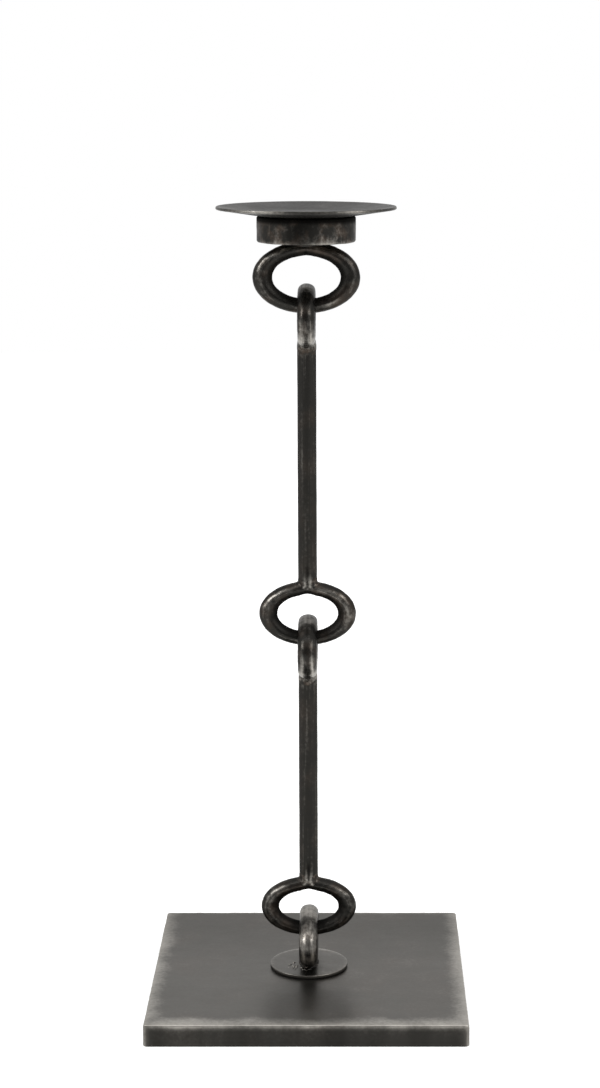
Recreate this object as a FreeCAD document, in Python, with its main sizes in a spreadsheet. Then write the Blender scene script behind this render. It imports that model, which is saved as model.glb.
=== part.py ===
"""Candle stand of blackened steel: oval loops and round bars, welded like a chain set upright, carry a drip pan.

Millimetres. +Z is up, the origin is the middle of the plate's underside, and the rings face along Y.
"""
import FreeCAD
import Part
import Sketcher
import os

# Sizes that can be set one by one, in millimetres, and shares, which have no unit
SIZES = {
    "plate_side": 170,
    "plate_thickness": 12,
    "plate_corner_round": 1.5,
    "plate_edge_round": 0.8,
    "disc_diameter": 42.6,
    "disc_thickness": 2,
    "disc_edge_round": 0.5,
    "stud_diameter": 8,
    "stud_clearance": 0.25,
    "thread_clearance": 0.05,
    "washer_diameter": 16,
    "washer_thickness": 1.6,
    "nut_flats": 13,
    "nut_height": 4,
    "nut_recess": 0.6,
    "socket_clearance": 3,
    "flat_share": 0.74,
    "base_link_width": 51.8,
    "base_link_height": 31,
    "base_link_bar": 9.8,
    "lower_ring_width": 51.8,
    "lower_ring_height": 33,
    "lower_ring_bar": 9.5,
    "middle_link_width": 51.8,
    "middle_link_height": 32.4,
    "middle_link_bar": 10,
    "middle_ring_width": 51.8,
    "middle_ring_height": 34.6,
    "middle_ring_bar": 9.5,
    "upper_link_width": 51.8,
    "upper_link_height": 32.4,
    "upper_link_bar": 9.4,
    "top_ring_width": 56.2,
    "top_ring_height": 37.4,
    "top_ring_bar": 10.1,
    "rod_diameter": 10,
    "lower_rod_length": 113.4,
    "upper_rod_length": 126,
    "cope_depth": 1.5,
    "seat_depth": 0.3,
    "weld_gap": 0.3,
    "foot_weld_leg": 2.4,
    "foot_weld_lip": 0.3,
    "neck_gap": 0.4,
    "neck_diameter": 9,
    "crossing_weld_diameter": 6.4,
    "seat_weld_length": 22,
    "seat_weld_height": 2,
    "seat_weld_toe": 1.2,
    "drum_diameter": 52,
    "drum_height": 13.7,
    "drum_edge_round": 1.2,
    "pan_diameter": 94.4,
    "pan_floor_diameter": 49,
    "pan_rise": 3.5,
    "pan_thickness": 1.5,
    "pan_bend_radius": 30,
    "pan_rim_round": 0.5,
    "plug_diameter": 10,
}

# The stem from the disc upwards: a link seen edge on, the ring hooked through it, and the bar on that ring
STEM = [
    ("base_link", "lower_ring", "lower_rod"),
    ("middle_link", "middle_ring", "upper_rod"),
    ("upper_link", "top_ring", None),
]
SECTIONS_PER_LOOP = 24
NUT_SIDES = 6
QUARTER_TURN = 90
HALF_TURN = 180
FULL_TURN = 360
SAME_PLACE = 1e-6
UP = FreeCAD.Vector(0, 0, 1)
THROUGH_RINGS = FreeCAD.Vector(0, 1, 0)
DIAGONAL = FreeCAD.Vector(1, 1, 0)

os.makedirs("parts", exist_ok=True)
doc = FreeCAD.newDocument("candle_stand")


def make_sheet():
    """Spreadsheet with one named cell for each size."""
    sheet = doc.addObject("Spreadsheet::Sheet", "Sizes")
    for row, (name, value) in enumerate(SIZES.items(), start=1):
        sheet.set(f"A{row}", name)
        sheet.set(f"B{row}", str(value))
        sheet.setAlias(f"B{row}", name)
    doc.recompute()
    return sheet


sizes_sheet = make_sheet()


def number(expression):
    """What an expression on the sheet comes to."""
    return float(sizes_sheet.evalExpression(expression))


def flat_of(loop):
    """Thickness of a loop's bar at its flats, where it is hammered."""
    return f"Sizes.{loop}_bar * Sizes.flat_share"


def stem_heights():
    """Height of each seat and centre of the stem, each built on the one below it."""
    height = {"disc_top": "Sizes.plate_thickness + Sizes.disc_thickness"}
    seat = f"{height['disc_top']} - Sizes.seat_depth"
    for link, ring, rod in STEM:
        height[link] = f"{seat} + Sizes.{link}_height / 2"
        ring_eye = f"{seat} + Sizes.{link}_height - {flat_of(link)} - Sizes.weld_gap"
        ring_top = f"{ring_eye} - {flat_of(ring)} + Sizes.{ring}_height"
        height[f"{ring}_eye"] = ring_eye
        height[ring] = f"{ring_top} - Sizes.{ring}_height / 2"
        height[f"{ring}_top"] = ring_top
        if rod:
            height[f"{rod}_top"] = f"{ring_top} + Sizes.{rod}_length"
            seat = f"{height[f'{rod}_top']} + Sizes.neck_gap"
    height["drum"] = f"{ring_top} - Sizes.seat_depth"
    height["pan"] = f"{height['drum']} + Sizes.drum_height"
    return height


HEIGHT = stem_heights()


# Tools for sketches and bodies


def bind(item, **expressions):
    """Binds an object's sizes to expressions on the sheet."""
    for name, expression in expressions.items():
        item.setExpression(name, expression)


def lift(item, height):
    """Binds the height of an object above the table."""
    item.setExpression("Placement.Base.z", height)


def new_body(label):
    """Empty body that becomes one piece."""
    body = doc.addObject("PartDesign::Body", label)
    body.Label = label
    return body


def new_sketch(body, name, role):
    """Empty sketch on one of the body's own origin planes."""
    sketch = body.newObject("Sketcher::SketchObject", f"{body.Name}_{name}")
    plane = next(feature for feature in body.Origin.OriginFeatures if feature.Role == role)
    sketch.AttachmentSupport = [(plane, "")]
    sketch.MapMode = "FlatFace"
    return sketch


def circle_sketch(body, name, diameter):
    """Circle about the origin on the body's XY plane."""
    sketch = new_sketch(body, name, "XY_Plane")
    circle = sketch.addGeometry(Part.Circle())
    sketch.addConstraint(Sketcher.Constraint("Coincident", circle, 3, -1, 1))
    across = sketch.addConstraint(Sketcher.Constraint("Diameter", circle, number(diameter)))
    sketch.setExpression(f"Constraints[{across}]", diameter)
    return sketch


def outline_sketch(body, name, role, corners):
    """Closed outline of straight lines through corners, each given as a pair of expressions."""
    sketch = new_sketch(body, name, role)
    points = [FreeCAD.Vector(number(across), number(up), 0) for across, up in corners]
    followers = points[1:] + points[:1]
    for point, follower in zip(points, followers):
        sketch.addGeometry(Part.LineSegment(point, follower))
    for line, corner in enumerate(corners):
        sketch.addConstraint(Sketcher.Constraint("Coincident", line, 2, (line + 1) % len(corners), 1))
        for kind, axis, expression in zip(("DistanceX", "DistanceY"), (-2, -1), corner):
            if expression == "0":
                sketch.addConstraint(Sketcher.Constraint("PointOnObject", line, 1, axis))
                continue
            place = sketch.addConstraint(Sketcher.Constraint(kind, -1, 1, line, 1, number(expression)))
            sketch.setExpression(f"Constraints[{place}]", expression)
    return sketch


def add_pad(body, profile, length):
    """Pad upwards from the profile."""
    pad = body.newObject("PartDesign::Pad", f"{body.Name}_pad")
    pad.Profile = profile
    bind(pad, Length=length)
    doc.recompute()


def add_pocket(body, name, profile, length):
    """Pocket upwards from the profile, which has to take metal away."""
    before = body.Shape.Volume
    pocket = body.newObject("PartDesign::Pocket", f"{body.Name}_{name}")
    pocket.Profile = profile
    pocket.Reversed = True
    bind(pocket, Length=length)
    doc.recompute()
    if body.Shape.Volume >= before:
        raise RuntimeError(f"{pocket.Name} takes nothing away")


def add_fillet(body, name, is_chosen, radius):
    """Rounds the edges of the body that a test chooses."""
    base = body.Tip
    edges = [f"Edge{index}" for index, edge in enumerate(base.Shape.Edges, start=1) if is_chosen(edge)]
    fillet = body.newObject("PartDesign::Fillet", f"{body.Name}_{name}")
    fillet.Base = (base, edges)
    bind(fillet, Radius=radius)
    doc.recompute()


def is_upright(edge):
    """True for an edge that runs straight up."""
    box = edge.BoundBox
    return max(box.XLength, box.YLength) < SAME_PLACE < box.ZLength


def level_at(*heights):
    """Test for edges that lie level at one of the heights."""

    def is_level(edge):
        box = edge.BoundBox
        return box.ZLength < SAME_PLACE and any(abs(box.ZMin - height) < SAME_PLACE for height in heights)

    return is_level


def circle_of(diameter):
    """Test for round edges of a diameter."""

    def is_circle(edge):
        radius = getattr(edge.Curve, "Radius", 0)
        return abs(2 * radius - diameter) < SAME_PLACE

    return is_circle


# Tools for primitives


def make_cylinder(name, diameter, height, foot):
    """Upright cylinder on the stem's axis."""
    cylinder = doc.addObject("Part::Cylinder", name)
    bind(cylinder, Radius=f"({diameter}) / 2", Height=height)
    lift(cylinder, foot)
    return cylinder


def make_ellipse(name, along, across, height, turn):
    """Level ellipse on the stem's axis, with its long half along X before it is turned."""
    ellipse = doc.addObject("Part::Ellipse", name)
    bind(ellipse, MajorRadius=along, MinorRadius=across)
    ellipse.Placement = FreeCAD.Placement(FreeCAD.Vector(), FreeCAD.Rotation(UP, turn))
    lift(ellipse, height)
    return ellipse


def make_loft(name, sections, is_closed):
    """Solid through a row of sections: smooth where it closes on itself, straight where it has two ends."""
    loft = doc.addObject("Part::Loft", name)
    loft.Sections = sections
    loft.Solid = True
    loft.Closed = is_closed
    loft.Ruled = not is_closed
    loft.MaxDegree = 3
    return loft


def cut_away(label, base, *tools):
    """What is left of a shape when the tools are cut from it one after another."""
    for index, tool in enumerate(tools, start=1):
        name = label if index == len(tools) else f"{label}_cut_{index}"
        cut = doc.addObject("Part::Cut", name)
        cut.Base = base
        cut.Tool = tool
        cut.Refine = False
        base = cut
    base.Label = label
    return base


# Base


def make_base_plate():
    """Square solid plate with a stud hole and a counterbore for the nut on its underside."""
    body = new_body("base_plate")
    half = "Sizes.plate_side / 2"
    back = "-Sizes.plate_side / 2"
    corners = [(back, back), (half, back), (half, half), (back, half)]
    add_pad(body, outline_sketch(body, "outline", "XY_Plane", corners), "Sizes.plate_thickness")
    add_fillet(body, "corners", is_upright, "Sizes.plate_corner_round")
    top = number("Sizes.plate_thickness")
    add_fillet(body, "edges", level_at(0, top), "Sizes.plate_edge_round")
    widest = "max(Sizes.washer_diameter; 2 * Sizes.nut_flats / sqrt(3))"
    recess = circle_sketch(body, "counterbore_circle", f"{widest} + 2 * Sizes.socket_clearance")
    add_pocket(body, "counterbore", recess, counterbore_depth())
    hole = circle_sketch(body, "hole_circle", "Sizes.stud_diameter + 2 * Sizes.stud_clearance")
    add_pocket(body, "hole", hole, "Sizes.plate_thickness")
    return body


def counterbore_depth():
    """Depth that takes the washer and the nut and leaves the nut clear of the table."""
    return "Sizes.nut_recess + Sizes.nut_height + Sizes.washer_thickness"


def make_base_disc():
    """Thin round disc that the stem stands on."""
    body = new_body("base_disc")
    add_pad(body, circle_sketch(body, "circle", "Sizes.disc_diameter"), "Sizes.disc_thickness")
    top = number("Sizes.disc_thickness")
    add_fillet(body, "edge", level_at(top), "Sizes.disc_edge_round")
    lift(body, "Sizes.plate_thickness")
    return body


def make_base_fixing():
    """Stud welded under the disc, and the washer and thin nut that pull it down on the plate."""
    length = "Sizes.plate_thickness - Sizes.nut_recess"
    stud = make_cylinder("base_stud", "Sizes.stud_diameter", length, "Sizes.nut_recess")
    washer_foot = "Sizes.nut_recess + Sizes.nut_height"
    blank = make_cylinder("washer_blank", "Sizes.washer_diameter", "Sizes.washer_thickness", washer_foot)
    washer_bore = "Sizes.stud_diameter + 2 * Sizes.stud_clearance"
    bore = make_cylinder("washer_bore", washer_bore, "Sizes.washer_thickness", washer_foot)
    washer = cut_away("base_washer", blank, bore)
    hexagon = doc.addObject("Part::Prism", "nut_blank")
    hexagon.Polygon = NUT_SIDES
    bind(hexagon, Circumradius="Sizes.nut_flats / sqrt(3)", Height="Sizes.nut_height")
    lift(hexagon, "Sizes.nut_recess")
    nut_bore = "Sizes.stud_diameter + 2 * Sizes.thread_clearance"
    thread = make_cylinder("nut_bore", nut_bore, "Sizes.nut_height", "Sizes.nut_recess")
    return [stud, washer, cut_away("base_nut", hexagon, thread)]


# Stem


def make_loop(name, loop, turn):
    """Oval of round bar, hammered thinner at its flats, with its seam at one long end."""
    bar = f"Sizes.{loop}_bar"
    half_width = f"((Sizes.{loop}_width - {bar}) / 2)"
    half_height = f"((Sizes.{loop}_height - {flat_of(loop)}) / 2)"
    sections = []
    for index in range(SECTIONS_PER_LOOP):
        angle = FULL_TURN * index / SECTIONS_PER_LOOP
        section = doc.addObject("Part::Ellipse", f"{loop}_section_{index}")
        thinning = f"sqrt(cos({angle})^2 + (Sizes.flat_share * sin({angle}))^2)"
        bind(section, MajorRadius=f"{bar} / 2", MinorRadius=f"{bar} / 2 * {thinning}")
        outwards = FreeCAD.Rotation(THROUGH_RINGS, -angle) * FreeCAD.Rotation(DIAGONAL, HALF_TURN)
        section.Placement = FreeCAD.Placement(FreeCAD.Vector(), outwards)
        reach = f"sqrt(({half_width} * cos({angle}))^2 + ({half_height} * sin({angle}))^2)"
        section.setExpression("Placement.Base.x", f"{half_width}^2 * cos({angle}) / {reach}")
        section.setExpression("Placement.Base.z", f"{half_height}^2 * sin({angle}) / {reach}")
        sections.append(section)
    oval = make_loft(name, sections, is_closed=True)
    oval.Label = name
    oval.Placement = FreeCAD.Placement(FreeCAD.Vector(), FreeCAD.Rotation(UP, turn))
    lift(oval, HEIGHT[loop])
    return oval


def make_rod(rod, ring_oval, ring):
    """Round bar whose foot is coped over the ring it stands on."""
    length = f"Sizes.{rod}_length + Sizes.cope_depth"
    foot = f"{HEIGHT[f'{ring}_top']} - Sizes.cope_depth"
    bar = make_cylinder(f"{rod}_bar", "Sizes.rod_diameter", length, foot)
    return bar, cut_away(rod, bar, ring_oval)


def make_foot_weld(rod, rod_bar, ring_oval, ring):
    """Flared weld between a ring and the rod on it, longer along the ring's bar than across it."""
    label = f"{rod}_foot_weld"
    lip = "Sizes.rod_diameter / 2 + Sizes.foot_weld_lip"
    leg = "Sizes.rod_diameter / 2 + Sizes.foot_weld_lip + Sizes.foot_weld_leg"
    ring_top = HEIGHT[f"{ring}_top"]
    toe = make_ellipse(f"{label}_toe", leg, lip, f"{ring_top} - Sizes.cope_depth", 0)
    crown = make_ellipse(f"{label}_crown", lip, lip, f"{ring_top} + Sizes.foot_weld_leg", 0)
    flare = make_loft(f"{label}_flare", [toe, crown], is_closed=False)
    return cut_away(label, flare, rod_bar, ring_oval)


def make_neck_weld(rod, link_oval, link):
    """Ground weld between the end of a rod and the link on it, slimmer than both."""
    label = f"{rod}_neck_weld"
    reach = f"Sizes.neck_gap + {flat_of(link)} / 2"
    neck = make_cylinder(f"{label}_neck", "Sizes.neck_diameter", reach, HEIGHT[f"{rod}_top"])
    return cut_away(label, neck, link_oval)


def make_crossing_weld(label, link_oval, link, ring_oval, ring):
    """Weld in the saddle where a link's top bar lies on a ring's bottom bar."""
    foot = f"{HEIGHT[f'{ring}_eye']} - {flat_of(ring)} / 2"
    reach = f"{flat_of(ring)} / 2 + Sizes.weld_gap + {flat_of(link)} / 2"
    saddle = make_cylinder(f"{label}_saddle", "Sizes.crossing_weld_diameter", reach, foot)
    return cut_away(label, saddle, link_oval, ring_oval)


def make_seat_weld(label, oval, loop, face, turn, side):
    """Weld round a loop's flat on a level face; side says on which side of the face it lies."""
    width = f"Sizes.{loop}_bar / 2"
    toe_length = "Sizes.seat_weld_length / 2"
    toe = make_ellipse(f"{label}_toe", toe_length, f"{width} + Sizes.seat_weld_toe", face, turn)
    crown_height = f"{face} {side} Sizes.seat_weld_height"
    crown = make_ellipse(f"{label}_crown", f"{toe_length} - Sizes.seat_weld_toe", width, crown_height, turn)
    upwards = [toe, crown] if side == "+" else [crown, toe]
    pad = make_loft(f"{label}_pad", upwards, is_closed=False)
    return cut_away(label, pad, oval)


def make_seat_cutter(name, loop, foot):
    """Block that grinds a loop flat where it sits on a level face."""
    width = f"Sizes.{loop}_width"
    block = doc.addObject("Part::Box", name)
    bind(block, Length=width, Width=width, Height=f"{flat_of(loop)} / 2")
    block.setExpression("Placement.Base.x", f"-{width} / 2")
    block.setExpression("Placement.Base.y", f"-{width} / 2")
    lift(block, foot)
    return block


def make_stem():
    """Links, rings, rods and the welds between them, from the disc to the drum."""
    pieces = []
    for link, ring, rod in STEM:
        is_foot = link == "base_link"
        is_head = ring == "top_ring"
        link_oval = make_loop(f"{link}_oval" if is_foot else link, link, QUARTER_TURN)
        ring_oval = make_loop(f"{ring}_oval" if is_head else ring, ring, 0)
        if is_foot:
            disc_top = HEIGHT["disc_top"]
            below = make_seat_cutter("base_link_grinding", link, f"{disc_top} - {flat_of(link)} / 2")
            pieces.append(cut_away(link, link_oval, below))
            pieces.append(make_seat_weld("base_link_weld", link_oval, link, disc_top, QUARTER_TURN, "+"))
        else:
            pieces.append(link_oval)
            pieces.append(make_neck_weld(rod_below, link_oval, link))
        crossing = f"{ring.split('_')[0]}_crossing_weld"
        pieces.append(make_crossing_weld(crossing, link_oval, link, ring_oval, ring))
        if is_head:
            above = make_seat_cutter("top_ring_grinding", ring, HEIGHT["drum"])
            pieces.append(cut_away(ring, ring_oval, above))
            pieces.append(make_seat_weld("top_ring_weld", ring_oval, ring, HEIGHT["drum"], 0, "-"))
        else:
            pieces.append(ring_oval)
            rod_bar, rod_piece = make_rod(rod, ring_oval, ring)
            pieces.append(rod_piece)
            pieces.append(make_foot_weld(rod, rod_bar, ring_oval, ring))
        rod_below = rod
    return pieces


# Top


def make_drum():
    """Short slice of round bar with softened rims."""
    body = new_body("drum")
    add_pad(body, circle_sketch(body, "circle", "Sizes.drum_diameter"), "Sizes.drum_height")
    add_fillet(body, "edges", level_at(0, number("Sizes.drum_height")), "Sizes.drum_edge_round")
    lift(body, HEIGHT["drum"])
    return body


def make_drip_pan():
    """Thin pan with a flat floor and a gently rising brim, open in the middle for its plug weld."""
    body = new_body("drip_pan")
    plug = "Sizes.plug_diameter / 2"
    floor = "Sizes.pan_floor_diameter / 2"
    rim = "Sizes.pan_diameter / 2"
    wall = "Sizes.pan_thickness"
    corners = [
        (plug, "0"),
        (floor, "0"),
        (rim, "Sizes.pan_rise"),
        (rim, f"Sizes.pan_rise + {wall}"),
        (floor, wall),
        (plug, wall),
    ]
    profile = outline_sketch(body, "profile", "XZ_Plane", corners)
    turned = body.newObject("PartDesign::Revolution", "drip_pan_turned")
    turned.Profile = profile
    turned.ReferenceAxis = (profile, ["V_Axis"])
    turned.Angle = FULL_TURN
    doc.recompute()
    add_fillet(body, "bend", circle_of(number("Sizes.pan_floor_diameter")), "Sizes.pan_bend_radius")
    add_fillet(body, "rim", circle_of(number("Sizes.pan_diameter")), "Sizes.pan_rim_round")
    lift(body, HEIGHT["pan"])
    return body


def make_plug_weld():
    """Plug of weld metal in the pan's middle, ground flush with its floor."""
    return make_cylinder("pan_plug_weld", "Sizes.plug_diameter", "Sizes.pan_thickness", HEIGHT["pan"])


def write_pieces(pieces):
    """Checks the whole document, then writes one file for each piece."""
    doc.recompute()
    failed = [item.Label for item in doc.Objects if {"Invalid", "Error"} & set(item.State)]
    if failed:
        raise RuntimeError(f"failed: {failed}")
    for piece in pieces:
        if piece.Shape.isNull() or not piece.Shape.isValid():
            raise RuntimeError(f"{piece.Label} has no valid shape")
    for piece in pieces:
        piece.Shape.exportStep(f"parts/{piece.Label}.step")


write_pieces(
    [make_base_plate(), make_base_disc()]
    + make_base_fixing()
    + make_stem()
    + [make_drum(), make_drip_pan(), make_plug_weld()]
)
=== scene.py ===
"""Looks of a candle stand: a worn steel plate, a stem of forged loops and round bars, a drum and a drip pan.

Lengths are in metres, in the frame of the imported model: +Z runs up the stem, and the front faces -Y.
"""

import contextlib
import math
import random

import bpy
import numpy as np
from bpy.props import FloatProperty, FloatVectorProperty, PointerProperty
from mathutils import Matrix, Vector


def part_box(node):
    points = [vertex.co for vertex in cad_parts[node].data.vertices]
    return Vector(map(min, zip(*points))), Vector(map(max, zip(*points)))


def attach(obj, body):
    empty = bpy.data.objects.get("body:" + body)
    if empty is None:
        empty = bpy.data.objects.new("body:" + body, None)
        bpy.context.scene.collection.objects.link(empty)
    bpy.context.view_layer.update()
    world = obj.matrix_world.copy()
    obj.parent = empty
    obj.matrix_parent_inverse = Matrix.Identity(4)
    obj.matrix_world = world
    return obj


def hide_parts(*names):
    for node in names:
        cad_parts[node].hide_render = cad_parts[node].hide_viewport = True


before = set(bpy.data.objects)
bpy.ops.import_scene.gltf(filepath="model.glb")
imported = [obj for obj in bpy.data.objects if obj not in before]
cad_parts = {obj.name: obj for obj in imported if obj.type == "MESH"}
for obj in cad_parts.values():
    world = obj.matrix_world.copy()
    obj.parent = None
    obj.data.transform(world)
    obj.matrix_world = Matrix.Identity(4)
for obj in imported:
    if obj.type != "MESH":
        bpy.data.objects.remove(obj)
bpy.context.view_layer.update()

bl_info = {
    "name": "Candle Stand",
    "version": (1, 0, 0),
    "blender": (4, 5, 0),
    "location": "3D View > Sidebar > Candle Stand",
    "description": "Models the forged, welded and worn steel of a candle stand over its solids",
    "category": "Add Mesh",
}

MM = 0.001
TINY = 0.01 * MM

LINKS = ("base_link", "middle_link", "upper_link")
RINGS = ("lower_ring", "middle_ring", "top_ring")
# Each rod stands on a ring and carries a link
RODS = {"lower_rod": ("lower_ring", "middle_link"), "upper_rod": ("middle_ring", "upper_link")}
# Each crossing weld joins the top of a link to the bottom of a ring
CROSSINGS = {
    "lower_crossing_weld": ("base_link", "lower_ring"),
    "middle_crossing_weld": ("middle_link", "middle_ring"),
    "top_crossing_weld": ("upper_link", "top_ring"),
}


def linear(hex_colour):
    """Linear colour of an sRGB hex value."""
    channels = [int(hex_colour[place:place + 2], 16) / 255 for place in (1, 3, 5)]
    return tuple(c / 12.92 if c <= 0.04045 else ((c + 0.055) / 1.055) ** 2.4 for c in channels)


def length_setting(name, description, millimetres):
    """A length that a user may change."""
    return FloatProperty(name=name, description=description, default=millimetres * MM, min=0.0,
                         unit="LENGTH", precision=5)


def colour_setting(name, description, hex_colour):
    """A colour that a user may change."""
    return FloatVectorProperty(name=name, description=description, default=linear(hex_colour), size=3,
                               min=0.0, max=1.0, subtype="COLOR")


class CandleStandSizes(bpy.types.PropertyGroup):
    """Sizes of the marks that making and use have left"""
    plate_corner_round: length_setting("Plate corner round", "Radius of the plate's upright corners", 2.2)
    plate_edge_round: length_setting("Plate edge round", "Radius of the plate's upper edges", 1.0)
    plate_nick_depth: length_setting("Plate nick depth", "Depth of the nicks along the plate's edges", 0.25)
    plate_wear_width: length_setting("Plate wear width", "Half the width of the rubbed edge bands", 5.0)
    hammer_mark_width: length_setting("Hammer mark width", "Width of one hammer mark on a loop", 3.0)
    hammer_mark_depth: length_setting("Hammer mark depth", "Depth of one hammer mark on a loop", 0.18)
    forge_swell: length_setting("Forge swell", "How unevenly a loop's bar was drawn out", 0.25)
    bar_joint_notch: length_setting("Bar joint notch", "Height of the notch where a ring's ends meet", 0.8)
    ground_zone: length_setting("Ground zone", "Length of bar that the grinder made bright at a neck", 5.0)
    drum_edge_round: length_setting("Drum edge round", "Radius of the drum's rims", 1.2)
    pan_lip_round: length_setting("Pan lip round", "Radius of the pan's lip", 0.5)


class CandleStandColours(bpy.types.PropertyGroup):
    """Colours of the steel and of the studio"""
    black_oxide: colour_setting("Black oxide", "Blackened and waxed steel", "#292826")
    # Also the colour of the painted highlights that the bright layer lays on rings, links, drum and pan
    rubbed_steel: colour_setting("Rubbed steel", "Steel where the black is rubbed off", "#b0aca5")
    heat_brown: colour_setting("Heat brown", "Brown tint that welding heat leaves", "#54453a")
    plate_oxide: colour_setting("Plate oxide", "Blackened and waxed steel of the plate", "#5e5c58")
    # Painted shade: the black that the painted shade layer lays on the steel
    painted_shade: colour_setting("Painted shade", "Matt black under the pan", "#151413")
    dull_zinc: colour_setting("Dull zinc", "Zinc plate where it has dulled", "#7e7d7b")
    zinc: colour_setting("Zinc", "Zinc plate on the fixings", "#c4c6c8")
    studio_white: colour_setting("Studio white", "Floor of the studio", "#f0f0ee")


# Modelling helpers

def deselect_all():
    """Object mode, with nothing selected."""
    if bpy.context.mode != "OBJECT":
        bpy.ops.object.mode_set(mode="OBJECT")
    bpy.ops.object.select_all(action="DESELECT")


def select_only(piece):
    """Object mode, with one piece selected and active."""
    deselect_all()
    piece.select_set(True)
    bpy.context.view_layer.objects.active = piece


def placed():
    """The primitive that was just added, with its place put into its mesh."""
    bpy.ops.object.transform_apply(location=True, rotation=True, scale=True)
    return bpy.context.active_object


@contextlib.contextmanager
def edit_mode(piece):
    """Edit mode on one piece, with all of it selected."""
    select_only(piece)
    bpy.ops.object.mode_set(mode="EDIT")
    bpy.ops.mesh.select_all(action="SELECT")
    yield
    bpy.ops.object.mode_set(mode="OBJECT")


def choose(piece, kind, passes):
    """In edit mode, select the edges or faces whose own test passes.

    An edge is tested by its two ends, and a face by its middle and normal.
    """
    bpy.ops.mesh.select_mode(type=kind)
    bpy.ops.mesh.select_all(action="DESELECT")
    bpy.ops.object.mode_set(mode="OBJECT")
    mesh = piece.data
    if kind == "EDGE":
        for edge in mesh.edges:
            start, end = (mesh.vertices[index].co for index in edge.vertices)
            edge.select = passes(start, end)
    else:
        for face in mesh.polygons:
            face.select = passes(face.center, face.normal)
    bpy.ops.object.mode_set(mode="EDIT")


def upright(start, end):
    """An edge that stands on end."""
    return abs(start.z - end.z) > TINY and (start.xy - end.xy).length < TINY


def level_at(*heights):
    """A test for edges that lie level at one of these heights."""
    return lambda start, end: any(abs(start.z - z) < TINY and abs(end.z - z) < TINY for z in heights)


def apply_modifier(piece, kind, **settings):
    """Add a modifier with its settings and apply it."""
    select_only(piece)
    modifier = piece.modifiers.new(kind.title(), kind)
    for setting, value in settings.items():
        setattr(modifier, setting, value)
    bpy.ops.object.modifier_apply(modifier=modifier.name)


def cut_away(piece, *cutters):
    """Cut other pieces out of this one, so that it fits against them."""
    for cutter in cutters:
        apply_modifier(piece, "BOOLEAN", object=cutter, operation="DIFFERENCE", solver="MANIFOLD")


def dent(piece, name, kind, width, depth, group="", still_level=1.0):
    """Move the surface by up to a depth, in marks of a given width.

    It only moves inwards where the still level is 1, and only outwards where it is 0.
    """
    texture = bpy.data.textures.new(name, kind)
    texture.noise_scale = width
    apply_modifier(piece, "DISPLACE", texture=texture, texture_coords="LOCAL", strength=depth,
                   mid_level=still_level, vertex_group=group)
    bpy.data.textures.remove(texture)


def points_of(piece, quantity="co"):
    """One row of x, y and z per vertex: its place, or its normal."""
    rows = np.empty(len(piece.data.vertices) * 3)
    piece.data.vertices.foreach_get(quantity, rows)
    return rows.reshape(-1, 3)


def keep_layer(piece, name, values):
    """Keep one number, or one row of three, per vertex on the piece, for its material to read."""
    layers = piece.data.attributes
    if name in layers:
        layers.remove(layers[name])
    values = np.asarray(values, dtype=np.float32)
    if values.ndim == 1:
        layers.new(name, "FLOAT", "POINT").data.foreach_set("value", values)
    else:
        layers.new(name, "FLOAT_VECTOR", "POINT").data.foreach_set("vector", values.ravel())


def keep_group(piece, name, weights):
    """Keep a vertex group, so that a modifier acts only where its weight is high."""
    group = piece.vertex_groups.new(name=name)
    for index, weight in enumerate(weights):
        if weight > 0.0:
            group.add([index], float(weight), "REPLACE")


def fade(distance, width):
    """1 at no distance, falling smoothly towards 0 over a width."""
    return np.exp(-np.maximum(distance, 0.0) / width)


def turn_of(points):
    """Angle of each point about the stem, in degrees, from the front towards +X."""
    return np.degrees(np.arctan2(points[:, 0], -points[:, 1]))


def finish_piece(piece, name, material, node):
    """Name the piece, give it its finish, and let it stand for its solid."""
    select_only(piece)
    bpy.ops.object.shade_smooth_by_angle(angle=math.radians(40))
    piece.name = name
    piece.data.name = name
    piece.data.materials.clear()
    piece.data.materials.append(material)
    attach(piece, "root")
    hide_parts(node)


def stack_of_rows(rows, points=64):
    """Closed solid on the stem's axis, through level rows: a height, a reach along X and a reach along Y."""
    height, along, across = rows[0]
    deselect_all()
    bpy.ops.mesh.primitive_circle_add(vertices=points, radius=along, fill_type="NGON",
                                      location=(0, 0, height))
    solid = placed()
    with edit_mode(solid):
        bpy.ops.transform.resize(value=(1, across / along, 1), center_override=(0, 0, height))
        for row, following in zip(rows, rows[1:]):
            rise = following[0] - row[0]
            bpy.ops.mesh.extrude_region_move(TRANSFORM_OT_translate={"value": (0, 0, rise)})
            growth = (following[1] / row[1], following[2] / row[2], 1)
            bpy.ops.transform.resize(value=growth, center_override=(0, 0, following[0]))
        bpy.ops.mesh.select_all(action="SELECT")
        bpy.ops.mesh.normals_make_consistent(inside=False)
    return solid


def join_pieces(piece, others):
    """Make other pieces part of this one."""
    deselect_all()
    for each in (piece, *others):
        each.select_set(True)
    bpy.context.view_layer.objects.active = piece
    bpy.ops.object.join()


# Material helpers

def add_node(tree, kind, sockets=None, **settings):
    """Add one node: settings are its own options, and sockets give its inputs a value or a link."""
    node = tree.nodes.new("ShaderNode" + kind)
    for setting, value in settings.items():
        setattr(node, setting, value)
    for socket, value in (sockets or {}).items():
        if isinstance(value, bpy.types.NodeSocket):
            tree.links.new(value, node.inputs[socket])
        else:
            node.inputs[socket].default_value = value
    return node


def new_material(name):
    """An empty material with its node tree and output."""
    material = bpy.data.materials.new(name)
    material.use_nodes = True
    tree = material.node_tree
    tree.nodes.clear()
    output = add_node(tree, "OutputMaterial")
    return material, tree, output


def straight_grain(tree, place, lengths):
    """Grain that is drawn out along X, Y and Z by lengths in millimetres."""
    scale = [1 / (length * MM) for length in lengths]
    stretched = add_node(tree, "Mapping", {"Vector": place, "Scale": scale})
    return add_node(tree, "TexNoise", {"Vector": stretched.outputs[0], "Scale": 1.0, "Detail": 3.0})


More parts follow.
